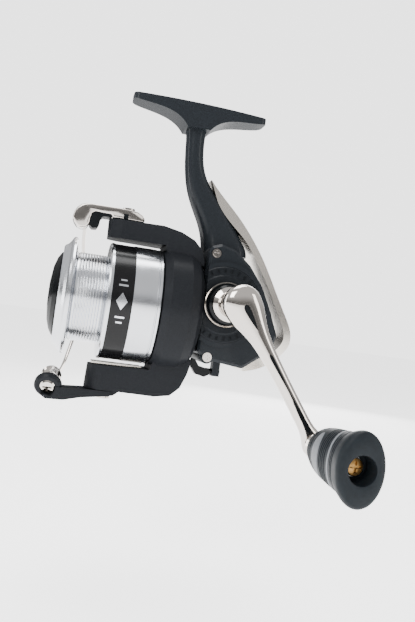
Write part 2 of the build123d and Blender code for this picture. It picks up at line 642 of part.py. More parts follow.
# ======================================================================================================
# Rotor and pinion
# ======================================================================================================
PINION_BORE_R = MAIN_SHAFT_R + RUN
STEM_R = 3.0
NUT_X = -38.4
with BuildPart() as pinion_gear:
    with BuildSketch(across(-15.9)) as pinion_teeth:
        Circle(PINION_ROOT_R)
        with PolarLocations(0, PINION_TEETH, start_angle=180 + 180 / PINION_TEETH):
            Polygon((PINION_ROOT_R - 0.3, -0.46), (PINION_PITCH_R, -0.28), (PINION_TIP_R, -0.15),
                    (PINION_TIP_R, 0.15), (PINION_PITCH_R, 0.28), (PINION_ROOT_R - 0.3, 0.46), align=None)
    extrude(pinion_teeth.sketch, amount=3.5)
    on_shaft(-37.6, -15.9, 0.0, STEM_R)
    on_shaft(-12.5, -9.8, 0.0, 2.1)
    on_shaft(-40.0, -9.0, 0.0, PINION_BORE_R, Mode.SUBTRACT)
save("pinion_gear", pinion_gear)

with BuildPart() as clutch_sleeve:
    on_shaft(CLUTCH_FRONT - 0.6, COLLAR_FRONT - 0.4, STEM_R, SLEEVE_R)
save("clutch_sleeve", clutch_sleeve)

UPPER_ARM = [(-49.2, ARM_INNER_Z), (-49.5, UPPER_SEAT_Z), (-27.6, UPPER_SEAT_Z), (-20.1, 31.8), (-14.6, 29.3), (-11.2, 26.0), (-9.4, 21.0), (-9.4, 19.4), (-24.0, 19.4),
             (-25.6, ARM_INNER_Z)]
LOWER_ARM = [(-50.2, -ARM_INNER_Z - 0.6), (-50.6, LOWER_SEAT_Z), (-22.6, LOWER_SEAT_Z), (-16.3, -35.0), (-12.6, -31.4), (-10.4, -25.6), (-9.4, -21.0),
             (-9.4, -19.4), (-24.0, -19.4), (-25.6, -ARM_INNER_Z)]


def arm_blank(outline):
    """One rotor arm: the side outline, narrowed towards the tip in plan."""
    with BuildPart() as arm:
        slab(side(-12.0), outline, 24.0)
        with BuildSketch(level(-45.0)) as plan:
            with BuildLine():
                for s in (1, -1):
                    Spline((-9.0, s * 11.4), (-20.0, s * 10.4), (-34.0, s * 8.2), (-44.0, s * ARM_HALF_WIDTH))
                ThreePointArc((-44.0, ARM_HALF_WIDTH), (-50.8, 0), (-44.0, -ARM_HALF_WIDTH))
                Line((-9.0, 11.4), (-9.0, -11.4))
            make_face()
        extrude(plan.sketch, amount=90.0, mode=Mode.INTERSECT)
    return arm.part


upper_arm = arm_blank(UPPER_ARM)
lower_arm = arm_blank(LOWER_ARM)
POCKET_X = (-33.0, -19.5)
POCKET_HALF = 5.4
POCKET_FLOOR = 28.6
COVER_PROUD = 0.35
COVER_THICK = 0.8

with BuildPart() as rotor:
    turn(SIDE, SHAFT, [
        (-31.4, STEM_R), (-34.0, STEM_R), (-34.0, 8.0), (-33.2, 9.0), (-33.2, 19.0), (-35.6, 19.8), (-35.6, 21.4),
        (-25.9, 21.4), (-25.9, 23.6), (-23.0, 25.4), (-15.0, 25.4), (-11.2, 23.4), (-9.4, 20.8), (-9.4, 18.8),
        (-24.0, 18.8), (-30.4, 18.4), (-31.4, 17.4)])
    add(upper_arm)
    add(lower_arm)
    on_shaft(-25.9, -9.0, 0.0, 18.8, Mode.SUBTRACT)
    on_shaft(-31.4, -25.0, STEM_R, 17.4, Mode.SUBTRACT)
    on_shaft(-52.0, -25.9, 21.4, SPOOL_R + 1.0, Mode.SUBTRACT)
    block(*POCKET_X, -POCKET_HALF, POCKET_HALF, POCKET_FLOOR, 40.0, Mode.SUBTRACT)
    block(*POCKET_X, -POCKET_HALF, POCKET_HALF, -40.0, -POCKET_FLOOR, Mode.SUBTRACT)
    discs(across(-35.0), [(0, 13.0)], 0.7, 3.2, Mode.SUBTRACT)
    # bores for the two bail pivots
    discs(level(-40.0), [(BAIL_X, 0)], 1.6, 14.0, Mode.SUBTRACT)
    discs(level(28.0), [(BAIL_X, 0)], 1.6, 12.0, Mode.SUBTRACT)
save("rotor", rotor)


def arm_cover(arm, sign):
    """The lid of an arm pocket: it follows the arm's outside and stands a little proud of it."""
    with BuildPart() as lid:
        add(arm.moved(Location((0, 0, sign * COVER_PROUD))))
        low, high = (POCKET_FLOOR, 40.0) if sign > 0 else (-40.0, -POCKET_FLOOR)
        block(*POCKET_X, -POCKET_HALF, POCKET_HALF, low, high, Mode.INTERSECT)
        add(arm.moved(Location((0, 0, -sign * COVER_THICK))), mode=Mode.SUBTRACT)
    return lid


upper_arm_cover = arm_cover(upper_arm, 1)
lower_arm_cover = arm_cover(lower_arm, -1)
save("upper_arm_cover", upper_arm_cover)
save("lower_arm_cover", lower_arm_cover)

with BuildPart() as bail_spring:
    with BuildSketch(across(POCKET_X[0] + 0.6)) as spring_end:
        with Locations((0, POCKET_FLOOR + 1.5)):
            Circle(1.5)
            Circle(0.9, mode=Mode.SUBTRACT)
    extrude(spring_end.sketch, amount=9.0)
save("bail_spring", bail_spring)

with BuildPart() as balance_weight:
    block(POCKET_X[0] + 0.8, POCKET_X[1] - 3.0, -POCKET_HALF + 0.6, POCKET_HALF - 0.6, -33.4, -POCKET_FLOOR)
save("balance_weight", balance_weight)

with BuildPart() as lower_arm_strip:
    block(-49.0, -28.5, -4.6, 4.6, -ARM_INNER_Z - 0.1, -ARM_INNER_Z + 0.55)
    add(rotor.part, mode=Mode.SUBTRACT)
save("lower_arm_strip", lower_arm_strip)

with BuildPart() as rotor_nut:
    with BuildSketch(across(-37.2)) as nut_hex:
        RegularPolygon(6.0, 6)
        Circle(STEM_R, mode=Mode.SUBTRACT)
    extrude(nut_hex.sketch, amount=3.2)
save("rotor_nut", rotor_nut)

with BuildPart() as rotor_nut_lock:
    with BuildSketch(across(-34.6)) as lock_plate:
        with Locations((0, 12.0)):
            RectangleRounded(7.0, 6.4, 1.0)
        Circle(9.3, mode=Mode.SUBTRACT)
    extrude(lock_plate.sketch, amount=1.4)
    screws(facing(-34.6), [(0, 13.0)], 1.5, 0.6, 0.7, 2.0)
save("rotor_nut_lock", rotor_nut_lock)

# ======================================================================================================
# Bail: holder, wire, roller arm and line roller
# ======================================================================================================
with BuildPart() as bail_pivot_screws:
    discs(level(28.6), [(BAIL_X, 0)], 1.6, 9.9)
    discs(level(-39.3), [(BAIL_X, 0)], 1.6, 11.0)
    discs(level(38.5), [(BAIL_X, 0)], 2.6, 0.7)
    discs(level(-40.0), [(BAIL_X, 0)], 2.6, 0.7)
    with BuildSketch(level(39.2)) as pivot_slot:
        with Locations((BAIL_X, 0)):
            Rectangle(3.2, 0.7)
            Rectangle(0.7, 3.2)
    extrude(pivot_slot.sketch, amount=-0.4, mode=Mode.SUBTRACT)
save("bail_pivot_screws", bail_pivot_screws)

HOLDER = [(-64.3, 32.8), (-62.4, 36.2), (-57.4, 38.1), (-49.9, 38.2), (-43.6, 38.2), (-37.2, 37.6), (-35.0, 35.4),
          (-35.4, UPPER_SEAT_Z + BAIL_GAP), (-51.7, UPPER_SEAT_Z + BAIL_GAP), (-54.5, 31.2), (-56.2, 28.4),
          (-59.8, 27.8), (-63.0, 29.4)]
with BuildPart() as bail_holder:
    slab(side(-10.0), HOLDER, 20.0)
    with BuildSketch(level(20.0)) as holder_plan:
        with BuildLine():
            Polyline((-40.0, 5.9), (-50.0, 5.4), (-60.0, 4.4), (-60.0, -4.4), (-50.0, -5.4), (-40.0, -5.9), close=True)
        make_face()
        with Locations((-41.4, 0)):
            Circle(6.1)
        with Locations((-60.0, 0)):
            Circle(4.4)
    extrude(holder_plan.sketch, amount=30.0, mode=Mode.INTERSECT)
    top_rim = bail_holder.faces().filter_by(lambda f: f.center().Z > AXIS_Z + 36.0).edges()
    try:
        fillet(top_rim, 1.2)
    except Exception:
        try:
            chamfer(top_rim, 0.6)
        except Exception:
            print("bail holder rim left sharp")
    discs(level(30.0), [(BAIL_X, 0)], 1.6 + RUN, 12.0, Mode.SUBTRACT)
    block(-62.6, -57.6, -2.6, 2.6, 27.0, 33.0, Mode.SUBTRACT)
save("bail_holder", bail_holder)

SCREW_END = Vector(CRANK_X - 64.7, -9.6, AXIS_Z - 36.7)
ROLLER_DIR = Vector(0.10, 0.88, 0.46).normalized()
ROLLER_PLANE = Plane(origin=SCREW_END, x_dir=(1, -0.1136, 0), z_dir=ROLLER_DIR)
ROLLER_AXIS = Axis(SCREW_END, ROLLER_DIR)
ROLLER_START = 2.7
ROLLER_END = 8.3
ROLLER_PIN_R = 1.5


def on_roller(points, mode=Mode.ADD):
    """Revolves (radius, distance) points about the roller's axis."""
    section = Plane(origin=SCREW_END, x_dir=ROLLER_PLANE.x_dir, z_dir=ROLLER_PLANE.y_dir.reverse())
    with BuildSketch(section) as outline:
        with BuildLine():
            Polyline(*points, close=True)
        make_face()
    revolve(outline.sketch, axis=ROLLER_AXIS, mode=mode)


with BuildPart() as line_roller:
    on_roller([(ROLLER_PIN_R + RUN, ROLLER_START), (4.5, ROLLER_START), (4.5, ROLLER_START + 0.8),
               (3.5, ROLLER_START + 2.0), (3.3, ROLLER_START + 3.2), (3.6, ROLLER_END - 1.0), (4.1, ROLLER_END),
               (ROLLER_PIN_R + RUN, ROLLER_END)])
save("line_roller", line_roller)

ROLLER_ARM = [(-35.8, LOWER_SEAT_Z - BAIL_GAP), (-38.6, -38.2), (-43.8, -39.0), (-51.6, -39.9), (-58.4, -41.3),
              (-65.0, -41.4), (-69.2, -39.0), (-69.2, LOWER_SEAT_Z - BAIL_GAP)]
with BuildPart() as roller_arm:
    slab(side(-12.0), ROLLER_ARM, 24.0)
    with BuildSketch(level(-45.0)) as arm_plan:
        with BuildLine():
            Polyline((-41.0, 6.2), (-52.0, 3.0), (-62.0, -2.2), (-67.0, -7.2), (-67.0, -11.4), (-58.0, -11.0),
                     (-50.0, -8.2), (-41.0, -6.2), close=True)
        make_face()
        fillet(arm_plan.vertices(), 1.4)
        with Locations((BAIL_X, 0)):
            Circle(6.3)
    extrude(arm_plan.sketch, amount=12.0, mode=Mode.INTERSECT)
    on_roller([(0.0, -0.6), (4.6, -0.6), (5.4, 0.3), (5.4, 1.6), (4.8, 2.3), (0.0, 2.3)])
    on_roller([(0.0, ROLLER_START - 0.1), (6.0, ROLLER_START - 0.1), (6.0, ROLLER_END + 4), (0.0, ROLLER_END + 4)],
              Mode.SUBTRACT)
    on_roller([(0.0, -3.0), (ROLLER_PIN_R, -3.0), (ROLLER_PIN_R, 4.0), (0.0, 4.0)], Mode.SUBTRACT)
    on_roller([(0.0, -3.0), (3.1, -3.0), (3.1, 0.1), (0.0, 0.1)], Mode.SUBTRACT)
    discs(level(-45.0), [(BAIL_X, 0)], 1.6 + RUN, 12.0, Mode.SUBTRACT)
save("roller_arm", roller_arm)

with BuildPart() as roller_screw:
    on_roller([(0.0, -1.0), (2.4, -1.0), (3.0, -0.5), (3.0, 0.1), (ROLLER_PIN_R, 0.1), (ROLLER_PIN_R, ROLLER_END + 0.8),
               (0.0, ROLLER_END + 0.8)])
    with BuildSketch(ROLLER_PLANE.offset(-1.0)) as roller_cross:
        Rectangle(3.6, 0.8)
        Rectangle(0.8, 3.6)
    extrude(roller_cross.sketch, amount=0.7, mode=Mode.SUBTRACT)
save("roller_screw", roller_screw)

with BuildPart() as bail_cone:
    on_roller([(ROLLER_PIN_R, ROLLER_END + 0.2), (4.0, ROLLER_END + 0.2), (3.6, ROLLER_END + 1.4),
               (1.6, ROLLER_END + 4.0), (0.0, ROLLER_END + 4.2), (0.0, ROLLER_END + 0.8),
               (ROLLER_PIN_R, ROLLER_END + 0.8)])
save("bail_cone", bail_cone)

WIRE_R = 0.75
wire_end = SCREW_END + ROLLER_DIR * (ROLLER_END + 3.2)
WIRE = [(-60.0, 3.0, 35.4), (-58.8, 13.0, 33.4), (-57.6, 31.5, 22.5), (-54.4, 39.6, 6.0), (-54.2, 39.8, -5.0),
        (-57.4, 31.8, -22.5), (-60.6, 14.0, -32.4)]
with BuildPart() as bail_wire:
    with BuildLine() as wire_path:
        Spline(*[(CRANK_X + x, y, AXIS_Z + z) for x, y, z in WIRE], tuple(wire_end))
    with BuildSketch(Plane(origin=wire_path.line @ 0, z_dir=wire_path.line % 0)):
        Circle(WIRE_R)
    sweep(path=wire_path.line)
    add(bail_cone.part, mode=Mode.SUBTRACT)
    add(bail_holder.part, mode=Mode.SUBTRACT)
save("bail_wire", bail_wire)

# ======================================================================================================
# Main shaft and slider
# ======================================================================================================
with BuildPart() as main_shaft:
    on_shaft(-60.4, SLIDER_X + 1.6, 0.0, MAIN_SHAFT_R)
    on_shaft(-67.4, -60.4, 0.0, MAIN_SHAFT_R - 0.2)
save("main_shaft", main_shaft)

with BuildPart() as oscillation_slider:
    block(SLIDER_X - SLIDER_HALF, SLIDER_X + SLIDER_HALF, -1.95, 2.2, -6.4, 2.4)
    slab(side(-3.9), [(SLIDER_X - SLIDER_HALF, -7.4), (SLIDER_X + 1.0, -7.4), (SLIDER_X + SLIDER_HALF, -6.4),
                      (SLIDER_X + SLIDER_HALF, 5.4), (SLIDER_X + 0.4, 7.4), (SLIDER_X - SLIDER_HALF, 7.4)], 1.7)
    on_shaft(SLIDER_X - 5, SLIDER_X + 1.6, 0.0, MAIN_SHAFT_R, Mode.SUBTRACT)
    discs(across(SLIDER_X - 5), [(ROD_Y, ROD_Z)], ROD_R + RUN, 10.0, Mode.SUBTRACT)
    with BuildSketch(side(-5.0)) as cam_slot:
        with Locations((SLIDER_X, 0)):
            SlotOverall(12.9, 2.1, rotation=90)
    extrude(cam_slot.sketch, amount=2.6, mode=Mode.SUBTRACT)
save("oscillation_slider", oscillation_slider)

with BuildPart() as spool_seat:
    on_shaft(-45.7, -43.4, MAIN_SHAFT_R, 4.4)
    on_shaft(-43.4, -42.4, MAIN_SHAFT_R, 3.0)
save("spool_seat", spool_seat)

# ======================================================================================================
# Spool and drag
# ======================================================================================================
with BuildPart() as spool:
    turn(SIDE, SHAFT, [
        (-46.0, MAIN_SHAFT_R + RUN), (-51.0, MAIN_SHAFT_R + RUN), (-51.0, 10.4), (-60.5, 10.4), (-60.5, 17.0),
        (-61.5, 18.2), (-65.2, 18.2), (-65.8, 18.8), (-65.8, 19.6), (-65.3, 20.3), (-64.2, 21.0), (-63.2, 22.3),
        (-62.6, 23.5), (-62.0, SPOOL_R), (-61.2, SPOOL_R), (-60.8, 23.5), (-60.3, ARBOR_R + 0.5), (-59.9, ARBOR_R),
        (-48.4, ARBOR_R), (-48.0, ARBOR_R + 0.5), (-47.5, 23.5), (-47.0, SPOOL_R), (-46.0, SPOOL_R),
        (-46.0, BAND_R), (-37.6, BAND_R), (-37.6, SPOOL_R), (-28.5, SPOOL_R), (-28.3, SPOOL_R - 0.35),
        (-27.9, SPOOL_R - 0.35), (-27.7, SPOOL_R), (-26.8, SPOOL_R), (-26.4, SPOOL_R - 0.4),
        (-26.4, SKIRT_IN_R + 0.4), (-26.8, SKIRT_IN_R), (-44.4, SKIRT_IN_R), (-45.0, 21.4), (-45.0, 16.2),
        (-58.8, 16.2), (-58.8, 12.0), (-46.0, 12.0)])
    for i in range(10):
        on_shaft(-59.5 + 1.12 * i, -59.5 + 1.12 * i + 0.5, ARBOR_R - 0.5, ARBOR_R + 0.28)
save("spool", spool)

with BuildPart() as spool_band:
    on_shaft(-45.9, -37.7, BAND_R, BAND_R + 0.8)
save("spool_band", spool_band)

with BuildPart() as band_mark:
    with BuildSketch(side(10.0)) as mark:
        with Locations((-41.8, 0)):
            Polygon((-2.2, 0), (0, 3.4), (2.2, 0), (0, -3.4), align=None)
        with Locations((-41.8, 6.2), (-41.8, -6.2)):
            Rectangle(3.6, 0.7)
        with Locations((-41.8, 8.2), (-41.8, -8.2)):
            Rectangle(2.4, 0.6)
    extrude(mark.sketch, amount=16.0)
    on_shaft(-47.0, -36.0, BAND_R + 0.8, BAND_R + 1.0, Mode.INTERSECT)
save("band_mark", band_mark)

WASHER = 0.9
with BuildPart() as drag_washers_metal:
    for i in range(3):
        on_shaft(-51.0 - (2 * i + 2) * WASHER, -51.0 - (2 * i + 1) * WASHER, MAIN_SHAFT_R + 0.3, 9.8)
save("drag_washers_metal", drag_washers_metal)

with BuildPart() as drag_washers_felt:
    for i in range(3):
        on_shaft(-51.0 - (2 * i + 1) * WASHER, -51.0 - 2 * i * WASHER, MAIN_SHAFT_R + 0.6, 9.6)
save("drag_washers_felt", drag_washers_felt)

with BuildPart() as drag_clip:
    on_shaft(-57.4, -56.7, 9.0, 10.4)
    block(-58.0, -56.0, -1.4, 1.4, 8.0, 11.0, Mode.SUBTRACT)
save("drag_clip", drag_clip)

with BuildPart() as drag_knob:
    turn(SIDE, SHAFT, [
        (-69.7, 0.0), (-69.6, 5.0), (-68.9, 11.0), (-67.8, 14.6), (-66.4, 16.9), (-64.8, 17.7), (-62.4, 17.7),
        (-62.4, 16.2), (-65.0, 15.6), (-66.4, 13.6), (-67.3, 10.0), (-67.6, 5.6), (-62.0, 5.2), (-61.2, 4.2),
        (-61.2, 2.4), (-67.8, 2.4), (-67.8, 0.0)])
    with BuildSketch(across(-71.0)) as notches:
        with PolarLocations(18.3, 24):
            Circle(0.9)
    extrude(notches.sketch, amount=10.0, mode=Mode.SUBTRACT)
save("drag_knob", drag_knob)

with BuildPart() as drag_nut:
    on_shaft(-65.6, -62.6, MAIN_SHAFT_R - 0.15, 2.4)
save("drag_nut", drag_nut)

with BuildPart() as drag_spring:
    for i in range(4):
        on_shaft(-60.9 + 0.9 * i, -60.3 + 0.9 * i, 2.5, 3.5)
    on_shaft(-61.2, -57.6, 2.9, 3.1)
save("drag_spring", drag_spring)
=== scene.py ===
import json
import math

import bmesh
import bpy
from mathutils import Matrix, Vector

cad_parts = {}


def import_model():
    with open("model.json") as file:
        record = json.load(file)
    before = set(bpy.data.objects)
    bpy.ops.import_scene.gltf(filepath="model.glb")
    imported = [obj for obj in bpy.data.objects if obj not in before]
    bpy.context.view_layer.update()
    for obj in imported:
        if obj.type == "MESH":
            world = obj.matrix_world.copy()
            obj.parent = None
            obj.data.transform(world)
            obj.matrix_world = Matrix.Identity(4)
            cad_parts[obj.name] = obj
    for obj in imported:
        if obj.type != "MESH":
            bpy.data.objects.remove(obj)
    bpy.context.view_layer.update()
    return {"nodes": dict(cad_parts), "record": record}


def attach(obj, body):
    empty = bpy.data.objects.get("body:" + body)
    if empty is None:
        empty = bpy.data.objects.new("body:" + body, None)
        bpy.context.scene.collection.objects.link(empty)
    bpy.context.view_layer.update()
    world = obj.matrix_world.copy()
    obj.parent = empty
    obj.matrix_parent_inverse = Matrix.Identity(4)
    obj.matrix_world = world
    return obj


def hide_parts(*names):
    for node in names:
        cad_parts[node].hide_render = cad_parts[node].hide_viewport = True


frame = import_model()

# The mechanism's own origin: crank axis in x, spool axis in z, as in the CAD model.
MX = 0.018
MZ = -0.087


def m(x, y, z):
    """Mechanism coordinates in millimetres to the row frame in metres."""
    return Vector((MX + x / 1000, y / 1000, MZ + z / 1000))


# ------------------------------------------------------------------------------------------------------
# Materials
# ------------------------------------------------------------------------------------------------------
class Nodes:
    """A small helper to wire a node material."""

    def __init__(self, name):
        self.mat = bpy.data.materials.new(name)
        self.mat.use_nodes = True
        self.tree = self.mat.node_tree
        self.bsdf = self.tree.nodes["Principled BSDF"]
        self.coord = self.tree.nodes.new("ShaderNodeTexCoord")

    def add(self, kind, **inputs):
        node = self.tree.nodes.new(kind)
        for key, value in inputs.items():
            name = key.replace("_", " ")
            if name in node.inputs:
                node.inputs[name].default_value = value
            else:
                setattr(node, key, value)
        return node

    def link(self, a, b):
        self.tree.links.new(a, b)

    def noise(self, scale, detail=3.0, stretch=None, rough=0.5):
        n = self.add("ShaderNodeTexNoise", Scale=scale, Detail=detail, Roughness=rough)
        if stretch:
            mapping = self.add("ShaderNodeMapping")
            mapping.inputs["Scale"].default_value = stretch
            self.link(self.coord.outputs["Object"], mapping.inputs["Vector"])
            self.link(mapping.outputs["Vector"], n.inputs["Vector"])
        else:
            self.link(self.coord.outputs["Object"], n.inputs["Vector"])
        return n.outputs["Fac"]

    def ramp(self, fac, stops):
        r = self.add("ShaderNodeValToRGB")
        els = r.color_ramp.elements
        while len(els) < len(stops):
            els.new(0.5)
        for el, (pos, colour) in zip(els, stops):
            el.position = pos
            el.color = (*colour, 1.0)
        self.link(fac, r.inputs["Fac"])
        return r.outputs["Color"]

    def span(self, fac, low, high, a=0.3, b=0.7):
        r = self.add("ShaderNodeMapRange")
        r.inputs["From Min"].default_value = a
        r.inputs["From Max"].default_value = b
        r.inputs["To Min"].default_value = low
        r.inputs["To Max"].default_value = high
        self.link(fac, r.inputs["Value"])
        return r.outputs["Result"]

    def bump(self, height, strength, distance):
        b = self.add("ShaderNodeBump", Strength=strength, Distance=distance)
        self.link(height, b.inputs["Height"])
        return b

    def set(self, **values):
        for key, value in values.items():
            self.bsdf.inputs[key.replace("_", " ")].default_value = value


def shades(colour, spread):
    return tuple(c * (1 - spread) for c in colour), tuple(min(1.0, c * (1 + spread)) for c in colour)


def painted(name, colour, rough=0.36, coat=0.3, gloss=0.24, flake=0.25):
    """Satin paint or moulded resin: fine metal flake, slow cloudiness, a little orange peel and rub marks."""
    k = Nodes(name)
    dark, light = shades(colour, flake)
    k.link(k.ramp(k.noise(4200, 2.0), [(0.35, dark), (0.68, light)]), k.bsdf.inputs["Base Color"])
    k.link(k.span(k.noise(95, 4.0), rough - 0.05, rough + 0.06), k.bsdf.inputs["Roughness"])
    fine = k.bump(k.noise(1500, 3.0), 0.06, 0.00005)
    wide = k.bump(k.noise(160, 2.0), 0.06, 0.0002)
    k.link(fine.outputs["Normal"], wide.inputs["Normal"])
    k.link(wide.outputs["Normal"], k.bsdf.inputs["Normal"])
    k.set(Coat_Weight=coat, Coat_Roughness=gloss, Specular_IOR_Level=0.0)
    return k.mat


def metal(name, colour, rough, spread=0.04, lines=None, line_strength=0.12, smear=120):
    """Bare or plated metal: uneven polish, faint smears, and machining or brushing lines where it has them."""
    k = Nodes(name)
    dark, light = shades(colour, spread)
    k.link(k.ramp(k.noise(smear, 3.0), [(0.3, dark), (0.7, light)]), k.bsdf.inputs["Base Color"])
    k.link(k.span(k.noise(smear * 1.7, 3.0), rough * 0.88, rough * 1.15), k.bsdf.inputs["Roughness"])
    if lines:
        grain = k.bump(k.noise(1.0, 2.0, stretch=lines, rough=0.6), line_strength, 0.00003)
        k.link(grain.outputs["Normal"], k.bsdf.inputs["Normal"])
    else:
        peel = k.bump(k.noise(smear * 0.5, 1.0), 0.03, 0.0001)
        k.link(peel.outputs["Normal"], k.bsdf.inputs["Normal"])
    k.set(Metallic=1.0)
    return k.mat


def soft(name, colour, rough, grain=1800, depth=0.35, spread=0.2, sheen=0.0, level=0.3):
    """Rubber, felt or matt plastic, with its surface grain."""
    k = Nodes(name)
    dark, light = shades(colour, spread)
    k.link(k.ramp(k.noise(grain * 0.25, 5.0), [(0.3, dark), (0.7, light)]), k.bsdf.inputs["Base Color"])
    k.link(k.span(k.noise(240, 3.0), rough - 0.07, rough + 0.07), k.bsdf.inputs["Roughness"])
    k.link(k.bump(k.noise(grain, 4.0), depth, 0.00006).outputs["Normal"], k.bsdf.inputs["Normal"])
    k.set(Specular_IOR_Level=level)
    if sheen:
        k.set(Sheen_Weight=sheen, Sheen_Roughness=0.5)
    return k.mat


TURNED = (9000.0, 40.0, 40.0)      # lines around the spool axis
BRUSHED = (140.0, 900.0, 140.0)
MATS = {
    "body_charcoal": painted("body paint", (0.0115, 0.0135, 0.0160), 0.34, 0.24),
    "rotor_charcoal": painted("rotor resin", (0.0115, 0.0125, 0.0145), 0.36, 0.14, 0.32),
    "disc_black": soft("matt black resin", (0.003, 0.004, 0.005), 0.50, 2600, 0.20, 0.25, level=0.08),
    "gloss_black": painted("gloss black", (0.002, 0.0025, 0.003), 0.12, 0.32, 0.16, 0.15),
    "guard_silver": metal("champagne plate", (0.60, 0.56, 0.505), 0.22, 0.03, BRUSHED, 0.06),
    "spool_silver": metal("turned aluminium", (0.60, 0.615, 0.645), 0.19, 0.02, TURNED, 0.10),
    "band_black": painted("anodised black", (0.004, 0.004, 0.0045), 0.24, 0.40, 0.20, 0.2),
    "chrome": metal("warm chrome", (0.57, 0.53, 0.49), 0.08, 0.02),
    "steel": metal("ground steel", (0.66, 0.66, 0.67), 0.24, 0.05, BRUSHED, 0.06),
    "cast_zinc": metal("die cast zinc", (0.46, 0.46, 0.47), 0.45, 0.12),
    "brass": metal("machined brass", (0.30, 0.17, 0.055), 0.34, 0.10),
    "grip_rubber": soft("grip rubber", (0.0065, 0.0090, 0.0115), 0.50, 2300, 0.25, 0.15, level=0.14),
    "grip_inlay": soft("grip inlay", (0.13, 0.137, 0.148), 0.45, 3000, 0.15, 0.10, level=0.2),
    "white_plastic": soft("natural resin", (0.62, 0.61, 0.57), 0.5, 2000, 0.15, 0.06),
    "felt": soft("pressed felt", (0.30, 0.28, 0.25), 0.95, 3500, 0.9, 0.35, 0.6),
}

slot_of = {s["node"]: s["material_slot"] for s in frame["record"]["subparts"]}
for name, obj in frame["nodes"].items():
    obj.data.materials.clear()
    obj.data.materials.append(MATS[slot_of[name]])


# ------------------------------------------------------------------------------------------------------
# Mesh pieces that stand for CAD nodes
# ------------------------------------------------------------------------------------------------------
CRANK_RISE = 4.6
KNOB_X, KNOB_Z = 33.6, -43.2
CRANK_LENGTH = math.hypot(KNOB_X, KNOB_Z - CRANK_RISE)
ARM_X, ARM_Z = KNOB_X / CRANK_LENGTH, (KNOB_Z - CRANK_RISE) / CRANK_LENGTH


def curve_at(points, x):
    """A smooth curve through (x, value) points."""
    if x <= points[0][0]:
        return points[0][1]
    for i in range(len(points) - 1):
        (x0, v0), (x1, v1) = points[i], points[i + 1]
        if x <= x1:
            before, after = points[max(i - 1, 0)], points[min(i + 2, len(points) - 1)]
            h = x1 - x0
            m0 = (v1 - before[1]) / (x1 - before[0]) * h
            m1 = (after[1] - v0) / (after[0] - x0) * h
            t = (x - x0) / h
            return (v0 * (2 * t ** 3 - 3 * t ** 2 + 1) + m0 * (t ** 3 - 2 * t ** 2 + t)
                    + v1 * (3 * t ** 2 - 2 * t ** 3) + m1 * (t ** 3 - t ** 2))
    return points[-1][1]


def loft(rings, closed=False):
    """A closed mesh over rings of points, capped at both ends, or closed on itself."""
    bm = bmesh.new()
    rows = [[bm.verts.new(p) for p in ring] for ring in rings]
    n = len(rows[0])
    pairs = list(zip(rows, rows[1:])) + ([(rows[-1], rows[0])] if closed else [])
    for a, b in pairs:
        for i in range(n):
            bm.faces.new((a[i], a[(i + 1) % n], b[(i + 1) % n], b[i]))
    if not closed:
        bm.faces.new(rows[0][::-1])
        bm.faces.new(rows[-1])
    bmesh.ops.recalc_face_normals(bm, faces=bm.faces)
    mesh = bpy.data.meshes.new("piece")
    bm.to_mesh(mesh)
    bm.free()
    return mesh


def thing(name, mesh):
    obj = bpy.data.objects.new(name, mesh)
    mesh.name = name
    bpy.context.scene.collection.objects.link(obj)
    return obj


def baked(obj):
    """The object's mesh with its modifiers applied."""
    dg = bpy.context.evaluated_depsgraph_get()
    mesh = bpy.data.meshes.new_from_object(obj.evaluated_get(dg))
    obj.modifiers.clear()
    obj.data = mesh
    return obj


def boolean(obj, other, operation):
    mod = obj.modifiers.new("cut", "BOOLEAN")
    mod.operation, mod.solver, mod.object = operation, "EXACT", other
    return baked(obj)


def finish(obj, slot, body, nodes=(), angle=35):
    obj.data.materials.clear()
    obj.data.materials.append(MATS[slot])
    obj.data.shade_smooth()
    obj.data.set_sharp_from_angle(angle=math.radians(angle))
    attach(obj, body)
    if nodes:
        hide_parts(*nodes)
    return obj


def on_arm(s, w, out):
    """A point s mm along the handle arm, w mm to its side and out mm from the spool axis."""
    return m(ARM_X * s - ARM_Z * w, -out, CRANK_RISE + ARM_Z * s + ARM_X * w)


# The handle arm: an egg-shaped hub that runs out into a slim rod with a round boss for the knob post.
HUB_R, HUB_T, TIP_R, TIP_T, TIP_S = 7.3, 3.85, 4.7, 2.3, 58.2
ARM_W = [(0, HUB_R), (3, 7.05), (6, 6.3), (10, 5.0), (14, 3.95), (19, 3.2), (26, 2.8), (34, 2.6), (46, 2.6),
         (51, 2.8), (54, 3.5), (56, 4.3), (TIP_S, TIP_R)]
ARM_T = [(0, HUB_T), (6, 3.6), (12, 3.0), (20, 2.5), (30, 2.3), (45, 2.2), (TIP_S, TIP_T)]
ARM_C = [(0, 43.7), (6, 43.8), (12, 44.4), (20, 45.2), (30, 46.0), (45, 46.7), (TIP_S, 47.1)]


def arm_section(s):
    if s < 0:
        u = max(0.0, 1 - (s / HUB_R) ** 2)
        return HUB_R * u ** 0.5, HUB_T * u ** 0.4, ARM_C[0][1]
    if s > TIP_S:
        u = max(0.0, 1 - ((s - TIP_S) / TIP_R) ** 2)
        return TIP_R * u ** 0.5, TIP_T * u ** 0.3, ARM_C[-1][1]
    return curve_at(ARM_W, s), curve_at(ARM_T, s), curve_at(ARM_C, s)


